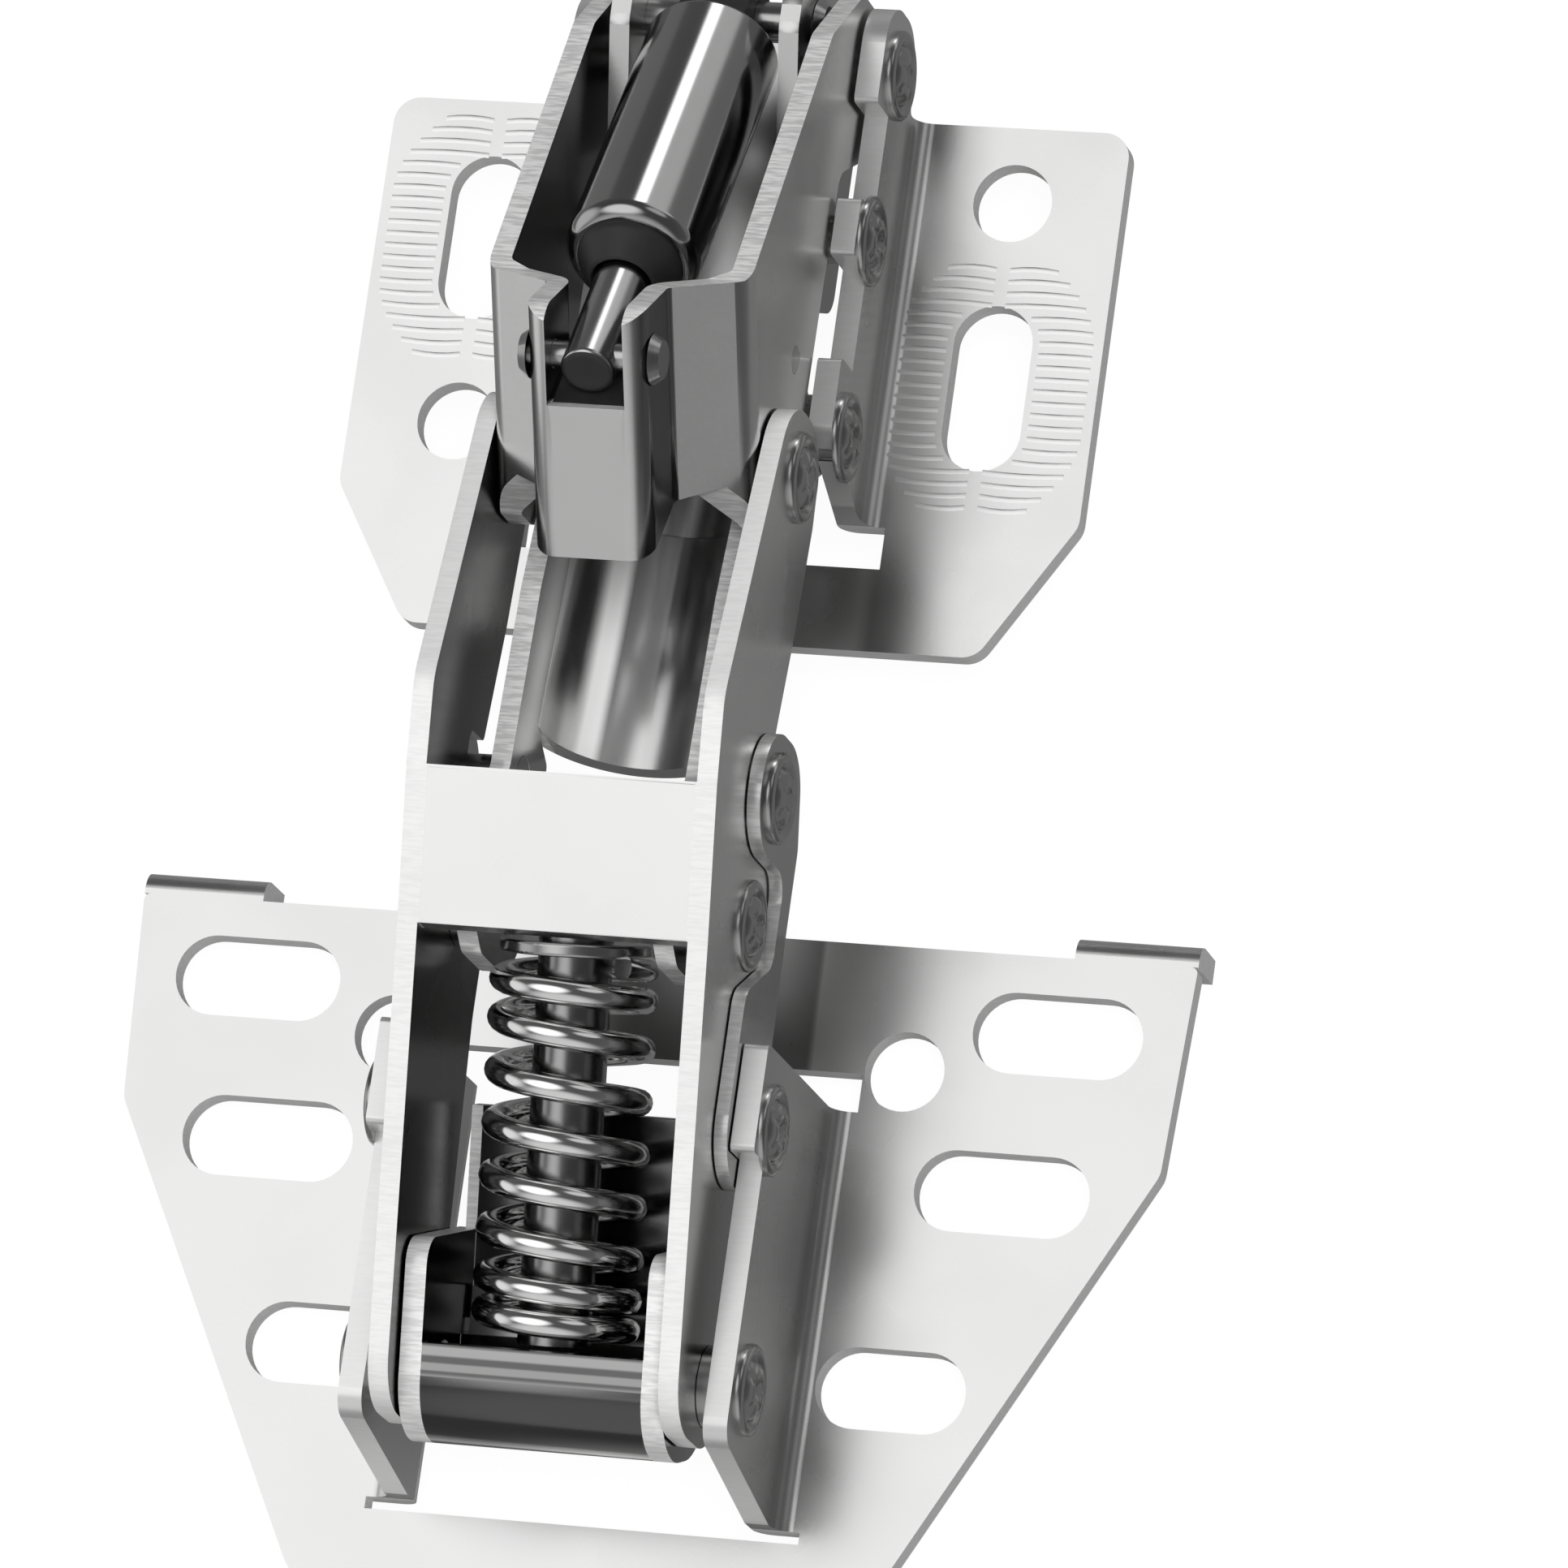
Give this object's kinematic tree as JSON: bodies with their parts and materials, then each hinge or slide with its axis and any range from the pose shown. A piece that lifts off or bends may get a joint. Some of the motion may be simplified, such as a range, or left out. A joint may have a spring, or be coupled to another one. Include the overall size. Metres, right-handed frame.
{
  "type": "soft-close cabinet hinge",
  "caption": "Surface-mounted cabinet hinge with a folded steel linkage between two slotted mounting plates, a coil closing spring and a small damper, shown open.",
  "frame": {"origin": "midway between the two round screw holes of the cabinet plate, on its mounting face", "axes": "+X along the pivot pins, +Y from the door plate towards the cabinet plate, +Z out of the plates"},
  "size_m": [0.081, 0.1209, 0.0464],
  "materials": {
    "plate_steel": "bright nickel plate, fine grain",
    "arm_steel": "bright nickel plate",
    "rivet_steel": "bright plated, crimped",
    "spring_steel": "polished wire",
    "tube_chrome": "polished",
    "seal_rubber": "matt",
    "dark_plastic": "matt"
  },
  "bodies": {
    "cabinet": {"cabinet_plate": "plate_steel", "damper_bracket": "arm_steel", "bracket_rivets": "rivet_steel", "channel_pivot_rivets": "rivet_steel", "arm_pivot_rivets": "rivet_steel", "arm_pivot_bushes": "rivet_steel", "damper_rear_pin": "rivet_steel"},
    "inner_arm": {"inner_arm": "arm_steel", "link_arm_studs": "rivet_steel", "spring_pin_ends": "rivet_steel", "elbow_bushes": "rivet_steel"},
    "main_arm": {"main_arm": "arm_steel", "elbow_rivets": "rivet_steel", "coupler_rivets": "rivet_steel"},
    "door": {"door_plate": "plate_steel", "door_pivot_axle": "rivet_steel", "door_pivot_washers": "rivet_steel", "link_door_rivets": "rivet_steel"},
    "outer_link": {"outer_link_right": "arm_steel", "outer_link_left": "arm_steel", "link_arm_rivets": "rivet_steel"},
    "damper_channel": {"damper_channel": "arm_steel", "damper_front_pin": "rivet_steel", "channel_side_rivets": "rivet_steel"},
    "damper_rod": {"damper_rod": "tube_chrome", "damper_piston": "seal_rubber"},
    "damper_tube": {"damper_tube": "tube_chrome", "damper_gland": "seal_rubber", "damper_end_plug": "dark_plastic"},
    "spring_unit": {"spring_yoke": "arm_steel", "spring": "spring_steel"},
    "spring_rod": {"spring_rod": "rivet_steel", "spring_collar": "rivet_steel", "spring_cross_pin": "rivet_steel"}
  },
  "joints": [
    {"name": "close", "type": "hinge", "parent": "cabinet", "child": "inner_arm", "pos_m": [0, -0.0114, 0.0093], "axis": [-1, 0, 0], "range_deg": [0, 127.59]},
    {"name": "main_arm_elbow", "type": "hinge", "parent": "inner_arm", "child": "main_arm", "pos_m": [0, -0.0501, 0.0149], "axis": [1, 0, 0], "range_deg": [0, 103.08]},
    {"name": "door_turn", "type": "hinge", "parent": "main_arm", "child": "door", "pos_m": [0, -0.0828, 0.0089], "axis": [-1, 0, 0], "range_deg": [0, 65.49]},
    {"name": "outer_link_turn", "type": "hinge", "parent": "door", "child": "outer_link", "pos_m": [0, -0.0644, 0.0122], "axis": [1, 0, 0], "range_deg": [0, 87.24]},
    {"name": "channel_turn", "type": "hinge", "parent": "cabinet", "child": "damper_channel", "pos_m": [0, 0.0169, 0.0084], "axis": [-1, 0, 0], "range_deg": [0, 135.31]},
    {"name": "damper_rod_turn", "type": "hinge", "parent": "damper_channel", "child": "damper_rod", "pos_m": [0, -0.014, 0.0346], "axis": [-1, 0, 0], "range_deg": [0, 17.37]},
    {"name": "damper_tube_turn", "type": "hinge", "parent": "cabinet", "child": "damper_tube", "pos_m": [0, 0.0185, 0.0145], "axis": [-1, 0, 0], "range_deg": [0, 152.69]},
    {"name": "spring_turn", "type": "hinge", "parent": "main_arm", "child": "spring_unit", "pos_m": [0, -0.0828, 0.0089], "axis": [-1, 0, 0], "range_deg": [0, 11.31]},
    {"name": "spring_rod_slide", "type": "slide", "parent": "spring_unit", "child": "spring_rod", "axis": [0, 0.9539, 0.3], "range_m": [0, 0.00184], "deforming": ["spring"]}
  ],
  "couplings": [
    {"joint": "main_arm_elbow", "follows": "close", "ratio": 0.80785},
    {"joint": "door_turn", "follows": "close", "ratio": 0.51323},
    {"joint": "outer_link_turn", "follows": "close", "ratio": 0.68372},
    {"joint": "channel_turn", "follows": "close", "ratio": 1.0605},
    {"joint": "damper_rod_turn", "follows": "close", "ratio": 0.13614},
    {"joint": "damper_tube_turn", "follows": "close", "ratio": 1.1966},
    {"joint": "spring_turn", "follows": "close", "ratio": 0.088606},
    {"joint": "spring_rod_slide", "follows": "close", "m_per_rad": 0.00082671}
  ]
}
